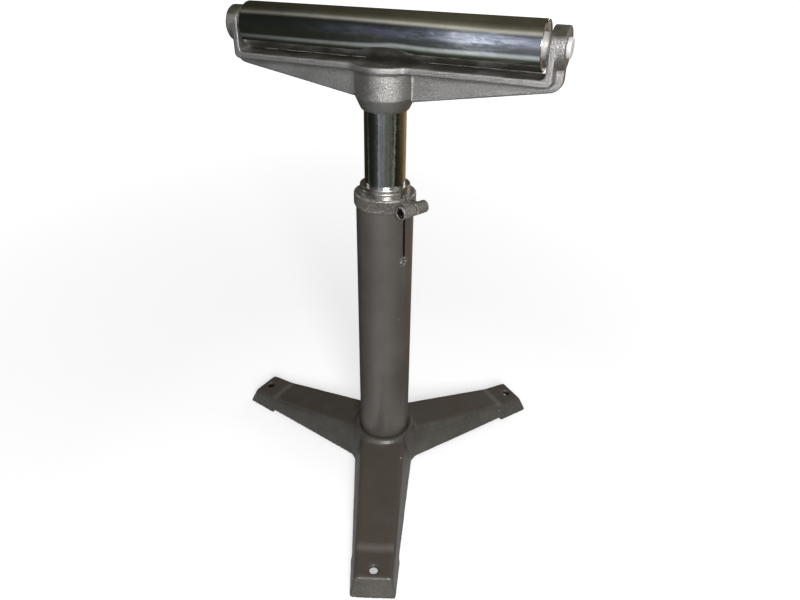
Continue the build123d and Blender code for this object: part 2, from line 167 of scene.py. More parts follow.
def add_noise(tree, place, scale, detail, roughness=0.5, distortion=0.0):
    """Noise Texture node, its scale per metre."""
    return add_node(tree, "ShaderNodeTexNoise", {
        "Vector": place, "Scale": scale, "Detail": detail, "Roughness": roughness, "Distortion": distortion})


def add_facing_up(tree):
    """How far a face looks up, from -1 to 1."""
    normal = add_node(tree, "ShaderNodeNewGeometry").outputs["Normal"]
    return add_node(tree, "ShaderNodeSeparateXYZ", {0: normal}).outputs["Z"]


def add_red(tree, colour):
    """One channel of a colour that differs from cell to cell."""
    return add_node(tree, "ShaderNodeSeparateColor", {0: colour}).outputs[0]


cast_grain, given, wanted = new_group(
    "Cast grain", "ShaderNodeTree",
    {"Vector": "Vector", "Grain per metre": 700.0, "Flakes per metre": 1900.0},
    {"Height": "Float", "Tone": "Float", "Flake": "Float"})
cells = {"Vector": given["Vector"], "Scale": given["Grain per metre"]}
pits = add_node(cast_grain, "ShaderNodeTexVoronoi", cells).outputs["Distance"]
grain = add_noise(cast_grain, given["Vector"], given["Grain per metre"], 4.0, 0.65).outputs[0]
pitted = add_math(cast_grain, "ADD", grain, add_math(cast_grain, "MULTIPLY", pits, 0.45))
cast_grain.links.new(pitted, wanted["Height"])
cloud = add_noise(cast_grain, given["Vector"], 26.0, 5.0).outputs[0]
cast_grain.links.new(add_range(cast_grain, cloud, 0.35, 0.68), wanted["Tone"])
cells = {"Vector": given["Vector"], "Scale": given["Flakes per metre"]}
flakes = add_node(cast_grain, "ShaderNodeTexVoronoi", cells).outputs["Color"]
cast_grain.links.new(add_red(cast_grain, flakes), wanted["Flake"])

# Edges painted lighter in patches, partly wear, partly painted highlight, and a few chipped specks anywhere.
edge_wear_and_highlight, given, wanted = new_group(
    "Edge wear and painted highlight", "ShaderNodeTree",
    {"Vector": "Vector", "Break-up per metre": 90.0, "Edge from": 0.53, "Edge to": 0.60},
    {"Mask": "Float", "Chips": "Float"})
bend = add_node(edge_wear_and_highlight, "ShaderNodeNewGeometry").outputs["Pointiness"]
edge = add_range(edge_wear_and_highlight, bend, given["Edge from"], given["Edge to"])
patches = add_noise(edge_wear_and_highlight, given["Vector"], given["Break-up per metre"], 6.0, 0.7).outputs[0]
worn_and_lit_edge = add_math(edge_wear_and_highlight, "MULTIPLY", edge, add_range(edge_wear_and_highlight, patches, 0.45, 0.62))
edge_wear_and_highlight.links.new(worn_and_lit_edge, wanted["Mask"])
specks = add_node(edge_wear_and_highlight, "ShaderNodeTexVoronoi", {"Vector": given["Vector"], "Scale": 95.0})
few = add_range(edge_wear_and_highlight, add_red(edge_wear_and_highlight, specks.outputs["Color"]), 0.965, 0.975)
small = add_range(edge_wear_and_highlight, specks.outputs["Distance"], 0.14, 0.10)
edge_wear_and_highlight.links.new(add_math(edge_wear_and_highlight, "MULTIPLY", few, small), wanted["Chips"])

# Painted shade: faces that look up are painted darker, in patches.
painted_top_shade, given, wanted = new_group(
    "Painted shade on tops", "ShaderNodeTree",
    {"Vector": "Vector", "Amount": 0.7, "Slope from": 0.72, "Slope to": 0.93}, {"Mask": "Float"})
level_share = add_range(painted_top_shade, add_facing_up(painted_top_shade), given["Slope from"], given["Slope to"])
shade_patches = add_noise(painted_top_shade, given["Vector"], 38.0, 5.0).outputs[0]
shade_patch_share = add_range(painted_top_shade, shade_patches, 0.25, 0.6, 0.55, 1.0)
shade_patch_share = add_math(painted_top_shade, "MULTIPLY", shade_patch_share, given["Amount"])
painted_top_shade.links.new(add_math(painted_top_shade, "MULTIPLY", level_share, shade_patch_share), wanted["Mask"])


def new_material(name, metallic, coat=0.0):
    """Material with its shader and Object coordinates ready."""
    material = bpy.data.materials.new(name)
    material.use_nodes = True
    tree = material.node_tree
    shader = tree.nodes["Principled BSDF"]
    shader.inputs["Metallic"].default_value = metallic
    shader.inputs["Coat Weight"].default_value = coat
    place = tree.nodes.new("ShaderNodeTexCoord")
    return material, tree, shader, place.outputs["Object"]


def join_shader(tree, shader, colour, gloss, height=None, depth=0.0, strength=1.0):
    """Joins a colour, a roughness and a bump of a depth in metres to the shader."""
    tree.links.new(colour, shader.inputs["Base Color"])
    tree.links.new(gloss, shader.inputs["Roughness"])
    if height is not None:
        bump = add_node(tree, "ShaderNodeBump", {"Strength": strength, "Distance": depth, "Height": height})
        tree.links.new(bump.outputs[0], shader.inputs["Normal"])


def add_group(tree, group, inputs):
    """Outputs of a shader node group placed in a material."""
    return add_node(tree, "ShaderNodeGroup", inputs, node_tree=group).outputs


def enamel(name, dark, light, bare_and_highlight, *, grain_per_metre, grain_depth, roughness, metallic, edges, coat, glint,
           flakes_per_metre=1900.0, breaks_per_metre=90.0, top_shade=None, top_shade_amount=0.0,
           top_shade_slopes=(0.72, 0.93), painted_light=None):
    """Sprayed paint over a casting or a tube: cloudy tone, metal flake painted as lighter glints, grain,
    painted shade that darkens the faces that look up, and edges and a few specks painted lighter, partly
    wear, partly painted highlight."""
    material, tree, shader, place = new_material(name, metallic, coat)
    skin = add_group(tree, cast_grain, {
        "Vector": place, "Grain per metre": grain_per_metre, "Flakes per metre": flakes_per_metre})
    wear = add_group(tree, edge_wear_and_highlight, {
        "Vector": place, "Break-up per metre": breaks_per_metre, "Edge from": edges[0], "Edge to": edges[1]})
    paint = add_mix(tree, skin["Tone"], dark, light)
    # Metal flake painted as lighter glints.
    paint = add_mix(tree, add_range(tree, skin["Flake"], 0.75, 1.0, 0.0, glint), paint, bare_and_highlight)
    gloss = add_range(tree, skin["Tone"], 0.0, 1.0, roughness - 0.05, roughness + 0.07)
    # Painted shade: the faces that look up are painted darker, less metallic and rougher.
    if top_shade:
        shaded_tops = add_group(tree, painted_top_shade, {
            "Vector": place, "Amount": top_shade_amount, "Slope from": top_shade_slopes[0], "Slope to": top_shade_slopes[1],
        })["Mask"]
        paint = add_mix(tree, shaded_tops, paint, top_shade)
        clean_share = add_math(tree, "SUBTRACT", 1.0, shaded_tops)
        tree.links.new(add_math(tree, "MULTIPLY", clean_share, metallic), shader.inputs["Metallic"])
        gloss = add_math(tree, "ADD", gloss, add_math(tree, "MULTIPLY", shaded_tops, 0.2))
    if painted_light:
        paint = painted_light(tree, place, paint)
    # Edges and specks painted lighter: partly wear, partly painted highlight.
    bare_and_lit = add_math(tree, "MAXIMUM", wear["Mask"], wear["Chips"])
    join_shader(tree, shader, add_mix(tree, bare_and_lit, paint, bare_and_highlight), gloss, skin["Height"], grain_depth)
    return material


def kink_highlight(tree, place, paint):
    """Painted highlight: a lighter band across each leg's top, just above its pad."""
    reach = add_vector(tree, "LENGTH", add_vector(tree, "MULTIPLY", place, (1, 1, 0)))
    off_kink = add_math(tree, "ABSOLUTE", add_math(tree, "SUBTRACT", reach, kink_reach))
    near = add_range(tree, off_kink, 0.008, 0.001, 0.0, 0.40)
    band = add_math(tree, "MULTIPLY", near, add_range(tree, add_facing_up(tree), 0.85, 0.95))
    return add_mix(tree, band, paint, kink_highlight_colour)


base = cast_skin("base_casting", base_voxel, base_rounding, base_wave, base_wave_length)
base.data.materials.append(enamel(
    "Base enamel", base_brown, base_grey, bare_iron_and_highlight, grain_per_metre=620.0, grain_depth=0.00018,
    roughness=0.44, metallic=0.35, edges=(0.535, 0.60), coat=0.12, glint=0.16, flakes_per_metre=900.0,
    top_shade=base_top_shade, top_shade_amount=0.95, painted_light=kink_highlight))
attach(base, "base")
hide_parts("base_casting")


# Outer tube: drawn steel, pressed into the base's hub and painted with it. A slot is sawn down from its
# top end so that the clamp can close it, and a drilled hole ends the slot. A dark brown strip is painted
# along the slot as painted shade, and painted glints lie round the hole.
clamp_turn = math.radians(-24)
clamp_slot = 0.0024
slot_length = 0.0845
slot_reach = 0.06
slot_relief_radius = 0.0025
sawn_edge = 0.0003
tube_wall = 0.00515
tube_edge = 0.0006
tube_brown = (0.165, 0.148, 0.134, 1)
tube_grey = (0.190, 0.173, 0.158, 1)
slot_shade_brown = (0.046, 0.028, 0.021, 1)
hole_glint_colour = (0.80, 0.76, 0.72, 1)
slot_out = Vector((math.cos(clamp_turn), math.sin(clamp_turn), 0))
lug_along = Vector((math.sin(clamp_turn), -math.cos(clamp_turn), 0))
tube_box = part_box("outer_tube")
tube_radius = tube_box[1].x
tube_bore = tube_radius - tube_wall
slot_foot = tube_box[1].z - slot_length


def rounded(outline, radius, steps=4):
    """Closed outline with each corner turned into a short curve."""
    corners = [Vector(corner) for corner in outline]
    points = []
    for before, corner, after in zip(corners[-1:] + corners[:-1], corners, corners[1:] + corners[:1]):
        start = corner + (before - corner).normalized() * min(radius, (before - corner).length / 2.2)
        end = corner + (after - corner).normalized() * min(radius, (after - corner).length / 2.2)
        for step in range(steps + 1):
            share = step / steps
            points.append(start.lerp(corner, share).lerp(corner.lerp(end, share), share))
    return points


def smooth_by_angle(piece, degrees=32):
    """Smooth shading that keeps a piece's real corners."""
    piece.data.shade_smooth()
    piece.data.set_sharp_from_angle(angle=math.radians(degrees))


def turned(name, outline, height=None, segments=256):
    """Closed outline of (radius, distance along the axis) turned round the post's axis, or round the
    roller's axis where its height is given."""
    places = []
    faces = []
    for turn in range(segments):
        angle = 2 * math.pi * turn / segments
        for radius, along in outline:
            side, up = radius * math.cos(angle), radius * math.sin(angle)
            places.append((side, up, along) if height is None else (along, side, up + height))
    rows = len(outline)
    for turn in range(segments):
        here, there = turn * rows, (turn + 1) % segments * rows
        for row in range(rows):
            below = (row + 1) % rows
            faces.append((here + row, there + row, there + below, here + below))
    mesh = bpy.data.meshes.new(name)
    mesh.from_pydata(places, [], faces)
    shape = bmesh.new()
    shape.from_mesh(mesh)
    bmesh.ops.remove_doubles(shape, verts=shape.verts, dist=1e-7)
    bmesh.ops.dissolve_degenerate(shape, edges=shape.edges, dist=1e-8)
    bmesh.ops.recalc_face_normals(shape, faces=shape.faces)
    shape.to_mesh(mesh)
    shape.free()
    piece = linked(name, mesh)
    smooth_by_angle(piece)
    return piece


def tube_outline(outer, inner, low, high):
    """Section of a plain tube."""
    return [(outer, low), (outer, high), (inner, high), (inner, low)]


def built(name, shape, place, turn):
    """Object whose mesh is a finished bmesh, turned and put in its place."""
    shape.transform(Matrix.Translation(place) @ turn)
    mesh = bpy.data.meshes.new(name)
    shape.to_mesh(mesh)
    shape.free()
    return linked(name, mesh)


def slot_saw(top, depth):
    """Cutter for the slot on the clamp's side, from a height down."""
    shape = bmesh.new()
    bmesh.ops.create_cube(shape, size=2)
    stretch = Matrix.Diagonal((slot_reach, clamp_slot / 2, depth, 1))
    return built("slot", shape, slot_out * slot_reach + Vector((0, 0, top)),
                 Matrix.Rotation(clamp_turn, 4, "Z") @ stretch)


def slot_drill(height):
    """Cutter for the hole that ends the slot."""
    shape = bmesh.new()
    bmesh.ops.create_cone(shape, cap_ends=True, segments=40, radius1=slot_relief_radius,
                          radius2=slot_relief_radius, depth=slot_reach)
    return built("drill", shape, slot_out * slot_reach * 0.7 + Vector((0, 0, height)),
                 Matrix.Rotation(clamp_turn, 4, "Z") @ Matrix.Rotation(math.pi / 2, 4, "Y"))


def cut(piece, cutter, broken_edge=0.0):
    """Takes a cutter out of a piece and breaks the sharp edges that it leaves."""
    difference = piece.modifiers.new("Cut", "BOOLEAN")
    difference.operation = "DIFFERENCE"
    difference.solver = "EXACT"
    difference.object = cutter
    if broken_edge:
        edges = piece.modifiers.new("Broken edges", "BEVEL")
        edges.width = broken_edge
        edges.segments = 2
        edges.limit_method = "ANGLE"
        edges.angle_limit = math.radians(50)
    settle(piece)
    bpy.data.objects.remove(cutter)
    smooth_by_angle(piece)


def slot_shade_and_glints(tree, place, paint):
    """Painted shade along both edges of the sawn slot, and painted glints round the drilled hole at its end.
    """
    off_slot = add_math(tree, "ABSOLUTE", add_vector(tree, "DOT_PRODUCT", place, lug_along))
    this_side = add_range(tree, add_vector(tree, "DOT_PRODUCT", place, slot_out), 0.0, 0.01)
    height = add_node(tree, "ShaderNodeSeparateXYZ", {0: place}).outputs["Z"]
    along_slot = add_range(tree, height, slot_foot - 0.004, slot_foot)
    ragged = add_noise(tree, place, 420.0, 3.0).outputs[0]
    shade_width = add_range(tree, ragged, 0.3, 0.7, 0.0012, 0.0026)
    near = add_range(tree, add_math(tree, "SUBTRACT", off_slot, shade_width), 0.0006, -0.0002)
    slot_shade = add_math(tree, "MULTIPLY", add_math(tree, "MULTIPLY", near, along_slot), this_side)
    hole_mouth = slot_out * tube_radius + Vector((0, 0, slot_foot + 0.002))
    round_hole = add_range(tree, add_vector(tree, "DISTANCE", place, hole_mouth), 0.0075, 0.0045)
    hole_glints = add_math(tree, "MULTIPLY", round_hole, add_range(tree, ragged, 0.50, 0.56))
    return add_mix(tree, hole_glints, add_mix(tree, slot_shade, paint, slot_shade_brown), hole_glint_colour)


tube = turned("outer_tube_drawn", rounded(
    tube_outline(tube_radius, tube_bore, tube_box[0].z, tube_box[1].z), tube_edge), segments=192)
cut(tube, slot_saw(tube_box[1].z, slot_length))
cut(tube, slot_drill(slot_foot), sawn_edge)
tube.data.materials.append(enamel(
    "Tube enamel", tube_brown, tube_grey, bare_iron_and_highlight, grain_per_metre=420.0, grain_depth=0.00006,
    roughness=0.33, metallic=0.60, edges=(0.56, 0.70), coat=0.1, glint=0.06, painted_light=slot_shade_and_glints))
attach(tube, "base")
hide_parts("outer_tube")


# Guide bushing: a ring of turned steel in the tube's mouth, split along the tube's slot, that closes on
# the post. The lathe left a fine groove and rings on its face.
bushing_fit = 0.00002
bushing_wall = 0.00588
bushing_edge = 0.0009
bushing_groove = 0.0006
groove_drop = 0.0040
bushing_split = 0.1
steel_light = (0.74, 0.72, 0.68, 1)
steel_dark = (0.40, 0.36, 0.32, 1)
up_along = (0.0, 0.0, 1.0)
roller_along = (1.0, 0.0, 0.0)

fine_marks, given, wanted = new_group(
    "Fine marks", "ShaderNodeTree", {"Vector": "Vector", "Marks per metre": 60.0},
    {"Scratches": "Float", "Smudges": "Float"})
bent = add_noise(fine_marks, given["Vector"], 9.0, 2.0).outputs["Color"]
wander = add_vector(fine_marks, "MULTIPLY", bent, (0.02, 0.02, 0.02))
drawn = add_node(fine_marks, "ShaderNodeMapping", {"Vector": given["Vector"], "Scale": (1.0, 6.0, 6.0)})
path = add_vector(fine_marks, "ADD", drawn.outputs[0], wander)
lines = add_node(fine_marks, "ShaderNodeTexVoronoi", {"Vector": path, "Scale": given["Marks per metre"]},
                 feature="DISTANCE_TO_EDGE")
fine_marks.links.new(add_range(fine_marks, lines.outputs["Distance"], 0.012, 0.0), wanted["Scratches"])
smears = add_noise(fine_marks, given["Vector"], 34.0, 6.0, 0.6, 0.6).outputs[0]
fine_marks.links.new(add_range(fine_marks, smears, 0.42, 0.70), wanted["Smudges"])


def lathe_steel(name, light, dark, roughness, rings_per_metre, along, metallic=1.0):
    """Bright turned steel: fine rings left by the tool, a few smudges and thin scratches. along is the
    direction in which the rings follow each other."""
    material, tree, shader, place = new_material(name, metallic)
    marks = add_group(tree, fine_marks, {"Vector": place, "Marks per metre": 70.0})
    across = add_vector(tree, "DOT_PRODUCT", place, along)
    rings = add_node(tree, "ShaderNodeTexNoise", {"W": across, "Scale": rings_per_metre, "Detail": 3.0},
                     noise_dimensions="1D").outputs[0]
    tarnish = add_math(tree, "MULTIPLY", marks["Smudges"], 0.45)
    gloss = add_range(tree, marks["Smudges"], 0.0, 1.0, roughness, roughness + 0.12)
    scored = add_math(tree, "SUBTRACT", rings, marks["Scratches"])
    join_shader(tree, shader, add_mix(tree, tarnish, light, dark), gloss, scored, 0.00005, 0.6)
    return material


bushing_low, bushing_high = (corner.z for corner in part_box("guide_bushing"))
bushing_radius = tube_bore - bushing_fit
groove_top = bushing_high - groove_drop
bushing = turned("guide_bushing_turned", rounded(
    [(bushing_radius, bushing_low), (bushing_radius, groove_top - 2 * bushing_groove),
     (bushing_radius - bushing_groove, groove_top - bushing_groove), (bushing_radius, groove_top),
     *tube_outline(bushing_radius, bushing_radius - bushing_wall, bushing_low, bushing_high)[1:]],
    bushing_edge))
cut(bushing, slot_saw(bushing_high, bushing_split), sawn_edge)
bushing.data.materials.append(lathe_steel(
    "Turned steel, upright", steel_light, steel_dark, roughness=0.24, rings_per_metre=2000.0, along=up_along))
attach(bushing, "base")
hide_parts("guide_bushing")


# Clamp collar: a small iron casting pressed over the tube's end, with two barrel lugs that the clamp
# screw draws together. Its grey-brown enamel is chipped along the edges, and its edges are painted lighter
# in patches, partly wear, partly painted highlight.
collar_voxel = 0.0005
collar_rounding = 3
collar_wave = 0.00006
collar_wave_length = 0.006
collar_dark = (0.115, 0.104, 0.092, 1)
collar_light = (0.225, 0.208, 0.190, 1)
collar_bare_and_highlight = (0.70, 0.67, 0.63, 1)
collar = cast_skin("clamp_collar", collar_voxel, collar_rounding, collar_wave, collar_wave_length)
collar.data.materials.append(enamel(
    "Collar enamel", collar_dark, collar_light, collar_bare_and_highlight, grain_per_metre=620.0, grain_depth=0.00034,
    roughness=0.34, metallic=0.35, edges=(0.503, 0.525), coat=0.3, glint=0.35, flakes_per_metre=900.0,
    breaks_per_metre=260.0))
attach(collar, "base")
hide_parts("clamp_collar")


# Clamp screw, its split washer and the set screws: alloy steel with a hexagon socket, rolled thread and a
# black oxide skin. The clamp screw's head is knurled and lies in the front lug's counterbore.
lug_offset = 0.0510
clamp_screw_radius = 0.004
clamp_head_radius = 0.0065
clamp_head_height = 0.008
clamp_head_foot = 0.0115
clamp_tip = -0.0185
knurl_ridges = 48
knurl_radius = 0.0004
set_screw_radius = 0.004
thread_pitch = 0.00125
thread_depth = 0.0005
socket_share = 0.5
socket_depth = 0.0035
hexagon_flat = math.cos(math.pi / 6)
base_screw_turn = 22 + 90
base_screw_height = 0.030
base_screw_length = 0.00948
black_oxide = (0.022, 0.021, 0.022, 1)
rubbed_oxide = (0.32, 0.31, 0.29, 1)


def smudged(name, metallic, marks_per_metre, clean, smeared, clean_gloss, smeared_gloss):
    """Plain finish with smudges in it."""
    material, tree, shader, place = new_material(name, metallic)
    smudges = add_group(tree, fine_marks, {"Vector": place, "Marks per metre": marks_per_metre})["Smudges"]
    gloss = add_range(tree, smudges, 0.0, 1.0, clean_gloss, smeared_gloss)
    join_shader(tree, shader, add_mix(tree, smudges, clean, smeared), gloss)
    return material


blackened = smudged("Black oxide steel", 0.85, 160.0, black_oxide, rubbed_oxide, 0.44, 0.34)


def coat_solid(node, material):
    """Gives its material to a solid that is shown as it is."""
    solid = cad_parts[node].data
    solid.materials.clear()
    solid.materials.append(material)


def add_lifted(tree, geometry, height):
    """Geometry moved up by a height."""
    lift = add_node(tree, "ShaderNodeCombineXYZ", {"Z": height}).outputs[0]
    return add_node(tree, "GeometryNodeTransform", {"Geometry": geometry, "Translation": lift}).outputs[0]


def add_joined(tree, *shapes):
    """Several shapes as one geometry."""
    joined = add_node(tree, "GeometryNodeJoinGeometry")
    for shape in shapes:
        tree.links.new(shape, joined.inputs[0])
    return joined.outputs[0]


def add_socketed(tree, radius, length, socket, depth):
    """Upright bar of that length, from z = 0, with a hexagon socket in its top end."""
    bar = add_node(tree, "GeometryNodeMeshCylinder", {"Vertices": 48, "Radius": radius, "Depth": length})
    upright = add_lifted(tree, bar.outputs["Mesh"], add_math(tree, "MULTIPLY", length, 0.5))
    broach = add_node(tree, "GeometryNodeMeshCylinder", {
        "Vertices": 6, "Radius": socket, "Depth": add_math(tree, "MULTIPLY", depth, 2.0)})
    seated = add_lifted(tree, broach.outputs["Mesh"], length)
    return add_node(tree, "GeometryNodeMeshBoolean", {"Mesh 1": upright, "Mesh 2": seated},
                    operation="DIFFERENCE", solver="EXACT").outputs["Mesh"]


def add_end(tree, shape, given, wanted):
    """Sets a shape on each of the piece's points, turned to face that point's way, as one plain mesh."""
    facing = add_node(tree, "GeometryNodeInputNamedAttribute", {"Name": "facing"}, data_type="FLOAT_VECTOR")
    aimed = add_node(tree, "FunctionNodeAlignRotationToVector", {"Vector": facing.outputs[0]}, axis="Z")
    points = add_node(tree, "GeometryNodeMeshToPoints", {"Mesh": given["Geometry"]})
    placed = add_node(tree, "GeometryNodeInstanceOnPoints", {
        "Points": points.outputs[0], "Instance": shape, "Rotation": aimed.outputs[0]})
    plain = add_node(tree, "GeometryNodeRealizeInstances", {"Geometry": placed.outputs[0]})
    coated = add_node(tree, "GeometryNodeSetMaterial", {
        "Geometry": plain.outputs[0], "Material": given["Material"]})
    tree.links.new(coated.outputs[0], wanted["Geometry"])


screw_tree, given, wanted = new_group(
    "Threaded screws", "GeometryNodeTree",
    {"Geometry": "Geometry", "Radius": 0.004, "Length": 0.01, "Thread pitch": 0.00125, "Thread depth": 0.0005,
     "Socket radius": 0.002, "Socket depth": 0.0035, "Material": "Material"},
    {"Geometry": "Geometry"})
core_radius = add_math(screw_tree, "SUBTRACT", given["Radius"], given["Thread depth"])
core = add_socketed(screw_tree, core_radius, given["Length"], given["Socket radius"], given["Socket depth"])
thread_run = add_math(screw_tree, "SUBTRACT", given["Length"], given["Thread pitch"])
helix = add_node(screw_tree, "GeometryNodeCurveSpiral", {
    "Resolution": 32,
    "Rotations": add_math(screw_tree, "DIVIDE", thread_run, given["Thread pitch"]),
    "Start Radius": core_radius,
    "End Radius": core_radius,
    "Height": thread_run,
})
crest = add_node(screw_tree, "GeometryNodeCurvePrimitiveCircle", {
    "Resolution": 4, "Radius": given["Thread depth"]})
thread = add_node(screw_tree, "GeometryNodeCurveToMesh", {
    "Curve": helix.outputs[0], "Profile Curve": crest.outputs[0], "Fill Caps": True})
half_pitch = add_math(screw_tree, "MULTIPLY", given["Thread pitch"], 0.5)
screw = add_joined(screw_tree, core, add_lifted(screw_tree, thread.outputs[0], half_pitch))
add_end(screw_tree, screw, given, wanted)

head_tree, given, wanted = new_group(
    "Knurled head", "GeometryNodeTree",
    {"Geometry": "Geometry", "Radius": 0.0065, "Height": 0.008, "Ridges": 48, "Ridge radius": 0.0004,
     "Socket radius": 0.0037, "Socket depth": 0.004, "Material": "Material"},
    {"Geometry": "Geometry"})
ridge_circle = add_math(head_tree, "SUBTRACT", given["Radius"], given["Ridge radius"])
head = add_socketed(head_tree, ridge_circle, given["Height"], given["Socket radius"], given["Socket depth"])
ring = add_node(head_tree, "GeometryNodeMeshCircle", {"Vertices": given["Ridges"], "Radius": ridge_circle})
ridge_length = add_math(head_tree, "MULTIPLY", given["Height"], 0.8)
ridge = add_node(head_tree, "GeometryNodeMeshCylinder", {
    "Vertices": 6, "Radius": given["Ridge radius"], "Depth": ridge_length})
ridges = add_node(head_tree, "GeometryNodeInstanceOnPoints", {
    "Points": ring.outputs[0], "Instance": ridge.outputs["Mesh"]})
ridge_lift = add_math(head_tree, "MULTIPLY", given["Height"], 0.45)
knurled = add_joined(head_tree, head, add_lifted(head_tree, ridges.outputs[0], ridge_lift))
add_end(head_tree, knurled, given, wanted)


def made(name, tree, values, places, facings):
    """Piece made by a Geometry Nodes tree from points that each face a way, turned into a plain mesh."""
    mesh = bpy.data.meshes.new(name)
    mesh.from_pydata([tuple(place) for place in places], [], [])
    ways = mesh.attributes.new("facing", "FLOAT_VECTOR", "POINT")
    ways.data.foreach_set("vector", [part for way in facings for part in way])
    piece = linked(name, mesh)
    maker = piece.modifiers.new("Maker", "NODES")
    maker.node_group = tree
    sockets = {item.name: item.identifier for item in tree.interface.items_tree if item.in_out == "INPUT"}
    for label, value in values.items():
        maker[sockets[label]] = value
    settle(piece)
    smooth_by_angle(piece)
    return piece


def threaded(name, places, facings, radius, length, socket_radius, socket_depth):
    """Threaded bars of one size, each with a hexagon socket."""
    return made(name, screw_tree, {
        "Radius": radius,
        "Length": length,
        "Thread pitch": thread_pitch,
        "Thread depth": thread_depth,
        "Socket radius": socket_radius,
        "Socket depth": socket_depth,
        "Material": blackened,
    }, places, facings)


def set_screws(name, body, node, places, facings, radius, length):
    """Set screws of one size on one body."""
    socket_radius = radius * socket_share / hexagon_flat
    piece = threaded(name, places, facings, radius, length, socket_radius, socket_depth)
    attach(piece, body)
    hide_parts(node)


def outward(angle):
    """Level direction at an angle from +X, in degrees."""
    return Vector((math.cos(math.radians(angle)), math.sin(math.radians(angle)), 0))


base_screw_way = outward(base_screw_turn)
base_screw_place = base_screw_way * (tube_radius + 0.00002) + Vector((0, 0, base_screw_height))
set_screws("base_set_screw_threaded", "base", "base_set_screw", [base_screw_place], [base_screw_way],
           set_screw_radius, base_screw_length)

lug_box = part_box("clamp_screw")
lug_centre = slot_out * lug_offset + Vector((0, 0, (lug_box[0].z + lug_box[1].z) / 2))
clamp_shank = threaded(
    "clamp_screw_shank", [lug_centre + lug_along * clamp_tip], [lug_along], clamp_screw_radius,
    clamp_head_foot - clamp_tip, socket_radius=0.001, socket_depth=0.0001)
clamp_head = made("clamp_screw_head", head_tree, {
    "Radius": clamp_head_radius,
    "Height": clamp_head_height,
    "Ridges": knurl_ridges,
    "Ridge radius": knurl_radius,
    "Socket radius": clamp_head_radius * socket_share / hexagon_flat,
    "Socket depth": clamp_head_height / 2,
    "Material": blackened,
}, [lug_centre + lug_along * clamp_head_foot], [lug_along])
for part in (clamp_shank, clamp_head):
    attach(part, "clamp_screw")
    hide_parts("clamp_screw")
coat_solid("clamp_lock_washer", blackened)


# Guide ring and its retaining rings: a moulded nylon ring, greyed by the tube's wall, centres the post's
# foot in the tube, between two spring steel rings.
nylon_pale = (0.62, 0.58, 0.47, 1)
nylon_dull = (0.42, 0.38, 0.30, 1)
coat_solid("guide_ring", smudged("Guide nylon", 0.0, 120.0, nylon_pale, nylon_dull, 0.42, 0.6))
coat_solid("guide_retaining_rings", blackened)


# Post: a ground steel tube, chrome plated, that slides and turns in the bushing. Two grooves near its foot
# hold the retaining rings. Sliding has left faint marks along it.
post_wall = 0.0032
post_edge = 0.0008
ring_groove = 0.001
ring_thickness = 0.002
guide_lift = 0.006
guide_height = 0.018
chrome = (0.80, 0.81, 0.82, 1)
chrome_dull = (0.50, 0.50, 0.52, 1)


def plated(name, bright, dull, stretch, waviness, waves_per_metre):
    """Bright chrome plate: mirror-like, with faint smears, hair scratches and a slight waviness in metres."""
    material, tree, shader, place = new_material(name, 1.0)
    drawn = add_node(tree, "ShaderNodeMapping", {"Vector": place, "Scale": stretch})
    marks = add_group(tree, fine_marks, {"Vector": drawn.outputs[0], "Marks per metre": 45.0})
    dulled = add_math(tree, "MULTIPLY", marks["Smudges"], 0.6)
    hazed = add_math(tree, "MAXIMUM", marks["Smudges"], marks["Scratches"])
    gloss = add_range(tree, hazed, 0.0, 1.0, 0.045, 0.12)
    ripple = add_noise(tree, place, waves_per_metre, 2.5).outputs[0]
    join_shader(tree, shader, add_mix(tree, dulled, bright, dull), gloss, ripple, waviness)
    return material


post_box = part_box("inner_post")
post_radius = post_box[1].x
post_low, post_high = post_box[0].z, post_box[1].z
ring_low = post_low + guide_lift
post_outline = [(post_radius, post_high), (post_radius - post_wall, post_high),
                (post_radius - post_wall, post_low), (post_radius - post_edge, post_low),
                (post_radius, post_low + post_edge)]
for groove_low in (ring_low - ring_thickness, ring_low + guide_height):
    groove_high = groove_low + ring_thickness
    post_outline += [(post_radius, groove_low), (post_radius - ring_groove, groove_low),
                     (post_radius - ring_groove, groove_high), (post_radius, groove_high)]
post = turned("inner_post_plated", post_outline)
post.data.materials.append(plated("Chrome plate, upright", chrome, chrome_dull, stretch=(1.0, 1.0, 0.6),
                                  waviness=0.00026, waves_per_metre=150.0))
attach(post, "mast")
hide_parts("inner_post")


# Head: one iron casting, a T-section beam with an ear at each end and a hub for the post. It is sprayed
# silver over a coarse sand skin; the faces that look up are painted dark brown, as painted shade, and its
# edges are painted lighter, partly wear, partly painted highlight. Set screws at its back hold the post in
# the hub and the axle in the ears.
head_voxel = 0.0012
head_rounding = 2
head_wave = 0.0001
head_wave_length = 0.009
ear_inner = 0.1838
screw_gap = 0.00005
post_screw_spread = 35
post_screw_height = 0.567
post_screw_length = 0.0086
axle_radius = 0.010
axle_screw_radius = 0.003
axle_screw_length = 0.0098
silver_light = (0.41, 0.395, 0.385, 1)
silver_dark = (0.33, 0.315, 0.305, 1)
silver_glint_and_highlight = (0.85, 0.84, 0.83, 1)
head_top_shade = (0.052, 0.047, 0.033, 1)
head_casting = cast_skin("head_casting", head_voxel, head_rounding, head_wave, head_wave_length)
head_casting.data.materials.append(enamel(
    "Head silver", silver_dark, silver_light, silver_glint_and_highlight, grain_per_metre=760.0, grain_depth=0.00062,
    roughness=0.38, metallic=0.88, edges=(0.56, 0.70), coat=0.0, glint=0.34, flakes_per_metre=1000.0,
    top_shade=head_top_shade, top_shade_amount=1.1, top_shade_slopes=(0.36, 0.60)))
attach(head_casting, "mast")
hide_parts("head_casting")

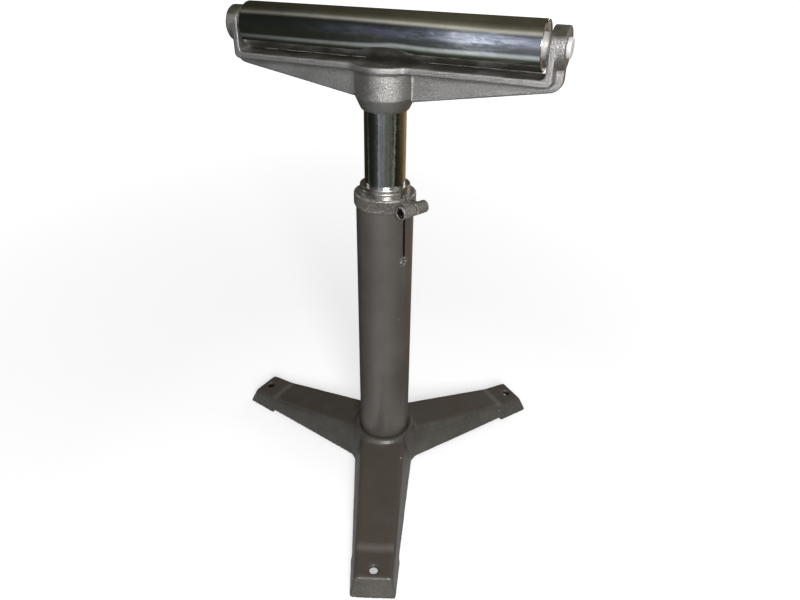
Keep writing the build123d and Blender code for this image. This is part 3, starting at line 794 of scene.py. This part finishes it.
roller_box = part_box("roller_shell")
axis_height = (roller_box[0].z + roller_box[1].z) / 2
post_screw_ways = [outward(90 - post_screw_spread), outward(90 + post_screw_spread)]
post_screw_lift = Vector((0, 0, post_screw_height))
post_screw_places = [way * (post_radius + screw_gap) + post_screw_lift for way in post_screw_ways]
set_screws("post_set_screws_threaded", "mast", "post_set_screws", post_screw_places, post_screw_ways,
           set_screw_radius, post_screw_length)
axle_screw_middle = (ear_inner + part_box("head_casting")[1].x) / 2
axle_screw_places = [(side * axle_screw_middle, axle_radius + screw_gap, axis_height) for side in (-1, 1)]
set_screws("axle_set_screws_threaded", "mast", "axle_set_screws", axle_screw_places, [(0, 1, 0), (0, 1, 0)],
           axle_screw_radius, axle_screw_length)


# Axle: a ground steel bar that stands a little out of each boss, with rounded ends.
axle_edge = 0.0015
axle_steps = 4
axle_light = (0.88, 0.86, 0.88, 1)
axle_dark = (0.56, 0.54, 0.55, 1)
axle_left, axle_right = (corner.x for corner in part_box("axle"))
axle_corners = [(axle_radius, axle_left), (axle_radius, axle_right), (0.0, axle_right), (0.0, axle_left)]
axle_ends = rounded(axle_corners, axle_edge, axle_steps)[:2 * (axle_steps + 1)]
axle = turned("axle_ground", [(0.0, axle_left), *axle_ends, (0.0, axle_right)], axis_height, 96)
axle.data.materials.append(lathe_steel(
    "Ground steel", axle_light, axle_dark, roughness=0.45, rings_per_metre=1800.0, along=roller_along,
    metallic=0.35))
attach(axle, "mast")
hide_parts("axle")


# Bearings: at each end a turned steel housing is pressed into the roller and holds a ball bearing with a
# pressed shield. A spacer keeps the inner race off the ear.
bearing_width = 0.012
bearing_recess = 0.003
bearing_radius = 0.021
housing_recess = 0.001
housing_depth = 0.022
housing_bore = 0.018
roller_wall = 0.003
balls_per_row = 9
ball_radius = 0.00319
race_land = 0.0019
spacer_radius = 0.0135
shield_thickness = 0.0005
shield_gap = 0.0003
small_edge = 0.0003
shield_edge = 0.0001
housing_light = (0.84, 0.80, 0.77, 1)
bearing_light = (0.66, 0.66, 0.66, 1)
bearing_dark = (0.38, 0.37, 0.36, 1)
roller_radius = (roller_box[1].z - roller_box[0].z) / 2
roller_bore = roller_radius - roller_wall
pitch_radius = (bearing_radius + axle_radius) / 2
bearing_steel = lathe_steel("Bearing steel", bearing_light, bearing_dark, roughness=0.14,
                            rings_per_metre=900.0, along=roller_along)
housing_steel = lathe_steel("Housing steel", housing_light, steel_light, roughness=0.42,
                            rings_per_metre=2200.0, along=roller_along, metallic=0.6)

ball_tree, given, wanted = new_group(
    "Ball row", "GeometryNodeTree",
    {"Geometry": "Geometry", "Balls": 9, "Pitch radius": 0.0155, "Ball radius": 0.0032,
     "Material": "Material"},
    {"Geometry": "Geometry"})
row = add_node(ball_tree, "GeometryNodeMeshCircle", {
    "Vertices": given["Balls"], "Radius": given["Pitch radius"]})
ball = add_node(ball_tree, "GeometryNodeMeshIcoSphere", {"Radius": given["Ball radius"], "Subdivisions": 4})
balls = add_node(ball_tree, "GeometryNodeInstanceOnPoints", {
    "Points": row.outputs[0], "Instance": ball.outputs["Mesh"]})
add_end(ball_tree, balls.outputs[0], given, wanted)


def bearing_piece(name, outline, body, node, steel, edge=small_edge):
    """Turned piece of a bearing, with its edges just broken."""
    piece = turned(name, rounded(outline, edge, 3), axis_height, 128)
    piece.data.materials.append(steel)
    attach(piece, body)
    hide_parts(node)


for side, hand in ((-1, "left"), (1, "right")):
    roller_end = side * roller_box[1].x
    face = roller_end - side * bearing_recess
    back = face - side * bearing_width
    lip = roller_end - side * housing_recess
    foot = roller_end - side * housing_depth
    bearing_piece(
        f"{hand}_housing_turned",
        [(roller_bore, lip), (bearing_radius, lip), (bearing_radius, back), (housing_bore, back),
         (housing_bore, foot), (roller_bore, foot)],
        "roller", f"{hand}_bearing_housing", housing_steel)
    bearing_piece(
        f"{hand}_outer_race_ground", tube_outline(bearing_radius, pitch_radius + race_land, back, face),
        "roller", f"{hand}_outer_race", bearing_steel)
    bearing_piece(
        f"{hand}_inner_race_ground", tube_outline(pitch_radius - race_land, axle_radius, back, face),
        "mast", f"{hand}_inner_race", bearing_steel)
    bearing_piece(
        f"{hand}_shield_pressed",
        tube_outline(pitch_radius + race_land, pitch_radius - race_land + shield_gap,
                     face - side * shield_thickness, face),
        "roller", f"{hand}_bearing_shield", bearing_steel, shield_edge)
    bearing_piece(
        f"{hand}_spacer_turned", tube_outline(spacer_radius, axle_radius, face, side * ear_inner),
        "mast", f"{hand}_spacer", housing_steel)
    ball_set = made(f"{hand}_ball_row", ball_tree, {
        "Balls": balls_per_row,
        "Pitch radius": pitch_radius,
        "Ball radius": ball_radius,
        "Material": bearing_steel,
    }, [(face - side * bearing_width / 2, 0, axis_height)], [roller_along])
    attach(ball_set, "roller")
    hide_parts(f"{hand}_balls")


# Roller: a steel tube, ground and chrome plated, with broken edges. It turns on the two bearings.
roller_edge = 0.0006
roller_segments = 256
roller_tree, given, wanted = new_group(
    "Turned tube", "GeometryNodeTree",
    {"Geometry": "Geometry", "Radius": 0.0254, "Wall": 0.003, "Length": 0.3556, "Edge": 0.001,
     "Segments": 256, "Material": "Material"},
    {"Geometry": "Geometry"})
half_wall = add_math(roller_tree, "MULTIPLY", given["Wall"], 0.5)
hoop = add_node(roller_tree, "GeometryNodeCurvePrimitiveCircle", {
    "Resolution": given["Segments"], "Radius": add_math(roller_tree, "SUBTRACT", given["Radius"], half_wall)})
wall_section = add_node(roller_tree, "GeometryNodeCurvePrimitiveQuadrilateral", {
    "Width": given["Wall"], "Height": given["Length"]})
wall_edges = add_node(roller_tree, "GeometryNodeFilletCurve", {
    "Curve": wall_section.outputs[0], "Radius": given["Edge"], "Count": 4}, mode="POLY")
shell = add_node(roller_tree, "GeometryNodeCurveToMesh", {
    "Curve": hoop.outputs[0], "Profile Curve": wall_edges.outputs[0]})
add_end(roller_tree, shell.outputs[0], given, wanted)
roller = made("roller_shell_plated", roller_tree, {
    "Radius": roller_radius,
    "Wall": roller_wall,
    "Length": roller_box[1].x - roller_box[0].x,
    "Edge": roller_edge,
    "Segments": roller_segments,
    "Material": plated("Chrome plate, level", chrome, chrome_dull, stretch=(0.6, 1.0, 1.0), waviness=0.00007,
                       waves_per_metre=48.0),
}, [(0, 0, axis_height)], [roller_along])
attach(roller, "roller")
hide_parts("roller_shell")


# Studio: a pale floor that takes the stand's shadow, white beyond it, soft lamps and the camera. Round it
# stands a glowing room, no lamp, that lights nothing and that only the polished metal shows: its dark bands
# and its window are painted reflections.
floor_pale = (0.72, 0.72, 0.72, 1)
floor_glow = 0.52
floor_half = 14.0
world_fill = 0.20
floor_mesh = bpy.data.meshes.new("floor")
floor_mesh.from_pydata(
    [(-floor_half, -floor_half, 0), (floor_half, -floor_half, 0), (floor_half, floor_half, 0),
     (-floor_half, floor_half, 0)], [], [(0, 1, 2, 3)])
floor = linked("floor", floor_mesh)
floor_paint, tree, shader, place = new_material("Pale floor", 0.0)
shader.inputs["Base Color"].default_value = floor_pale
shader.inputs["Roughness"].default_value = 0.9
shader.inputs["Specular IOR Level"].default_value = 0.0
shader.inputs["Emission Color"].default_value = (1, 1, 1, 1)
ray = add_node(tree, "ShaderNodeLightPath").outputs
glow = add_range(tree, add_vector(tree, "LENGTH", place), 0.5, 3.0, floor_glow, 1.0)
tree.links.new(add_math(tree, "MULTIPLY", ray["Is Camera Ray"], glow), shader.inputs["Emission Strength"])
floor_left_out = add_node(tree, "ShaderNodeBsdfTransparent")
far_off = add_range(tree, ray["Ray Length"], 0.04, 0.22)
gone = add_math(tree, "MULTIPLY", ray["Is Glossy Ray"], far_off)
floor_seen = add_node(tree, "ShaderNodeMixShader", {
    0: gone, 1: shader.outputs[0], 2: floor_left_out.outputs[0]})
tree.links.new(floor_seen.outputs[0], tree.nodes["Material Output"].inputs["Surface"])
floor.data.materials.append(floor_paint)

world = bpy.data.worlds.new("Studio")
bpy.context.scene.world = world
world.use_nodes = True
tree = world.node_tree
sky = tree.nodes["Background"]
sky.inputs["Color"].default_value = (1, 1, 1, 1)
ray = add_node(tree, "ShaderNodeLightPath").outputs
seen = add_math(tree, "MAXIMUM", ray["Is Camera Ray"], ray["Is Glossy Ray"])
seen = add_math(tree, "MAXIMUM", seen, ray["Is Transmission Ray"])
tree.links.new(add_range(tree, seen, 0.0, 1.0, world_fill, 1.0), sky.inputs["Strength"])

# The room's bands and the window's heights go by degrees round the roller's axis, from 0, level in front,
# to 90 overhead. The side values go by the share of the way to the left, -1, or to the right, 1.
room_radius = 6.0
room_bands = (
    (-180, (0.34, 0.24, 0.13)),
    (-165, (0.30, 0.20, 0.10)),
    (-147, (0.11, 0.075, 0.034)),
    (-125, (0.060, 0.042, 0.026)),
    (-95, (0.018, 0.018, 0.012)),
    (-70, (0.024, 0.032, 0.022)),
    (-62, (0.065, 0.080, 0.060)),
    (-56, (0.20, 0.22, 0.195)),
    (-49, (0.40, 0.43, 0.405)),
    (-42, (0.42, 0.445, 0.43)),
    (-36, (0.28, 0.30, 0.30)),
    (-31, (0.08, 0.085, 0.085)),
    (-28, (0.034, 0.036, 0.027)),
    (0, (0.030, 0.032, 0.026)),
    (20, (0.016, 0.018, 0.021)),
    (51, (0.016, 0.017, 0.020)),
    (58, (0.16, 0.155, 0.13)),
    (64, (0.48, 0.46, 0.385)),
    (69, (0.46, 0.44, 0.365)),
    (78, (0.17, 0.155, 0.125)),
    (86, (0.100, 0.090, 0.064)),
    (100, (0.056, 0.049, 0.033)),
    (180, (0.046, 0.040, 0.026)),
)
room_darkest = (0.009, 0.010, 0.006)
side_shares = (
    (-1.0, 0.15), (-0.80, 0.15), (-0.58, 0.45), (-0.20, 1.25), (0.30, 1.0), (0.75, 0.30), (1.0, 0.30))
sill_bends = (
    (-0.60, 0.90), (-0.52, 0.80), (-0.46, 0.58), (-0.405, 0.04), (-0.36, 0.34), (-0.29, 0.55), (-0.20, 0.5))
window_heights = (
    (-58, 0.0), (-36, 0.24), (-10, 0.26), (0, 0.55), (10, 1.0), (32, 0.85), (43, 0.40), (58, 0.0))
window_sides = (
    (-0.62, (0.004, 0.004, 0.006)),
    (-0.47, (0.038, 0.043, 0.054)),
    (-0.40, (0.068, 0.068, 0.105)),
    (-0.34, (0.080, 0.093, 0.118)),
    (-0.29, (0.098, 0.110, 0.142)),
    (-0.23, (0.30, 0.34, 0.43)),
    (-0.20, (0.80, 0.84, 0.94)),
    (-0.12, (0.60, 0.66, 0.78)),
    (0.00, (0.40, 0.42, 0.52)),
    (0.25, (0.42, 0.44, 0.52)),
    (0.45, (0.34, 0.36, 0.34)),
    (0.80, (0.30, 0.32, 0.24)),
    (1.00, (0.12, 0.12, 0.08)),
)
sphere = bmesh.new()
bmesh.ops.create_uvsphere(sphere, u_segments=48, v_segments=24, radius=room_radius)
room = built("room", sphere, Vector(), Matrix.Identity(4))
room_paint = bpy.data.materials.new("Dark room")
room_paint.use_nodes = True
tree = room_paint.node_tree
tree.nodes.remove(tree.nodes["Principled BSDF"])


def add_ramp(tree, share, low, high, marks):
    """Ramp through (value, colour or brightness) marks that lie between low and high."""
    ramp = add_node(tree, "ShaderNodeValToRGB", {0: share})
    stops = ramp.color_ramp.elements
    while len(stops) < len(marks):
        stops.new(0.5)
    for stop, (value, shade) in zip(stops, marks):
        stop.position = (value - low) / (high - low)
    for stop, (value, shade) in zip(stops, marks):
        stop.color = (*shade, 1) if isinstance(shade, tuple) else (shade, shade, shade, 1)
    return ramp.outputs[0]


way = add_vector(tree, "NORMALIZE", add_node(tree, "ShaderNodeTexCoord").outputs["Object"])
axes = add_node(tree, "ShaderNodeSeparateXYZ", {0: way}).outputs
angle = add_math(tree, "ARCTAN2", axes["Z"], add_math(tree, "MULTIPLY", axes["Y"], -1.0))
round_share = add_range(tree, angle, -math.pi, math.pi)
side_share = add_range(tree, axes["X"], -1.0, 1.0)
shelf_lean = add_range(tree, axes["X"], -0.62, -0.12, -0.17, 0.15)
upper_share = add_range(tree, angle, math.radians(30), math.radians(50))
sill_lean = add_range(tree, add_ramp(tree, side_share, -1, 1, sill_bends), 0.0, 1.0, -0.16, 0.16)
lower_share = add_range(tree, angle, math.radians(-5), math.radians(-25))
leaned = add_math(tree, "ADD", angle, add_math(tree, "MULTIPLY", shelf_lean, upper_share))
leaned = add_math(tree, "ADD", leaned, add_math(tree, "MULTIPLY", sill_lean, lower_share))
bands = add_ramp(tree, add_range(tree, leaned, -math.pi, math.pi), -180, 180, room_bands)
side_light = add_ramp(tree, side_share, -1, 1, side_shares)
bands_lit = add_vector(tree, "MULTIPLY_ADD", bands, side_light, room_darkest)
squeezed = add_node(tree, "ShaderNodeMapping", {"Vector": way, "Scale": (46.0, 1.0, 1.0)}).outputs[0]
mottle = add_noise(tree, squeezed, 3.4, 2.0, 0.6, 0.6).outputs[0]
slatted = add_node(tree, "ShaderNodeMapping", {"Vector": way, "Scale": (5.0, 5.0, 75.0)}).outputs[0]
slats = add_noise(tree, slatted, 1.0, 4.0).outputs[0]
broken = add_math(tree, "MULTIPLY", add_range(tree, mottle, 0.40, 0.60, 0.2, 1.8),
                  add_range(tree, slats, 0.36, 0.64, 0.75, 1.25))
window = add_vector(tree, "MULTIPLY", add_ramp(tree, round_share, -180, 180, window_heights),
                    add_ramp(tree, side_share, -1, 1, window_sides))
window_lit = add_node(tree, "ShaderNodeVectorMath", {0: window, "Scale": broken}, operation="SCALE")
shown = add_vector(tree, "ADD", bands_lit, window_lit.outputs[0])
glow = add_node(tree, "ShaderNodeEmission", {"Color": shown, "Strength": 1.0})
tree.links.new(glow.outputs[0], tree.nodes["Material Output"].inputs["Surface"])
room_paint.cycles.emission_sampling = "NONE"
room.data.materials.append(room_paint)
room.visible_camera = False
room.visible_diffuse = False
room.visible_shadow = False
room.visible_transmission = False


def soft_lamp(name, place, aim_height, size, power):
    """Square soft lamp aimed at a height on the post's axis."""
    light = bpy.data.lights.new(name, "AREA")
    light.shape = "SQUARE"
    light.size = size
    light.energy = power
    lamp = linked(name, light)
    lamp.location = place
    lamp.rotation_euler = (Vector((0, 0, aim_height)) - Vector(place)).to_track_quat("-Z", "Y").to_euler()


soft_lamp("front", (0.85, -1.35, 1.05), aim_height=0.45, size=0.6, power=29.0)
soft_lamp("above", (1.3, 0.5, 2.3), aim_height=0.3, size=1.2, power=4.0)
soft_lamp("left", (-2.3, -0.2, 1.0), aim_height=0.4, size=0.9, power=3.0)
soft_lamp("right", (2.3, -0.1, 0.9), aim_height=0.3, size=0.9, power=2.5)
soft_lamp("behind", (0.7, 2.4, 1.25), aim_height=0.4, size=1.0, power=8.0)

camera_azimuth = 0.408
camera_elevation = 0.533
camera_roll = -0.018
camera_place = Vector((0.3074, -0.6578, 0.7065))
lens = bpy.data.cameras.new("camera")
lens.sensor_width = 36.0
lens.lens = 27.43
camera = linked("camera", lens)
level_right = Vector((math.cos(camera_azimuth), math.sin(camera_azimuth), 0))
ahead = Vector((
    -math.sin(camera_azimuth) * math.cos(camera_elevation),
    math.cos(camera_azimuth) * math.cos(camera_elevation),
    -math.sin(camera_elevation),
))
level_down = ahead.cross(level_right)
right = math.cos(camera_roll) * level_right + math.sin(camera_roll) * level_down
upward = math.sin(camera_roll) * level_right - math.cos(camera_roll) * level_down
turn = Matrix((right, upward, -ahead)).transposed()
camera.matrix_world = Matrix.Translation(camera_place) @ turn.to_4x4()
bpy.context.scene.camera = camera
bpy.context.scene.view_settings.view_transform = "Standard"
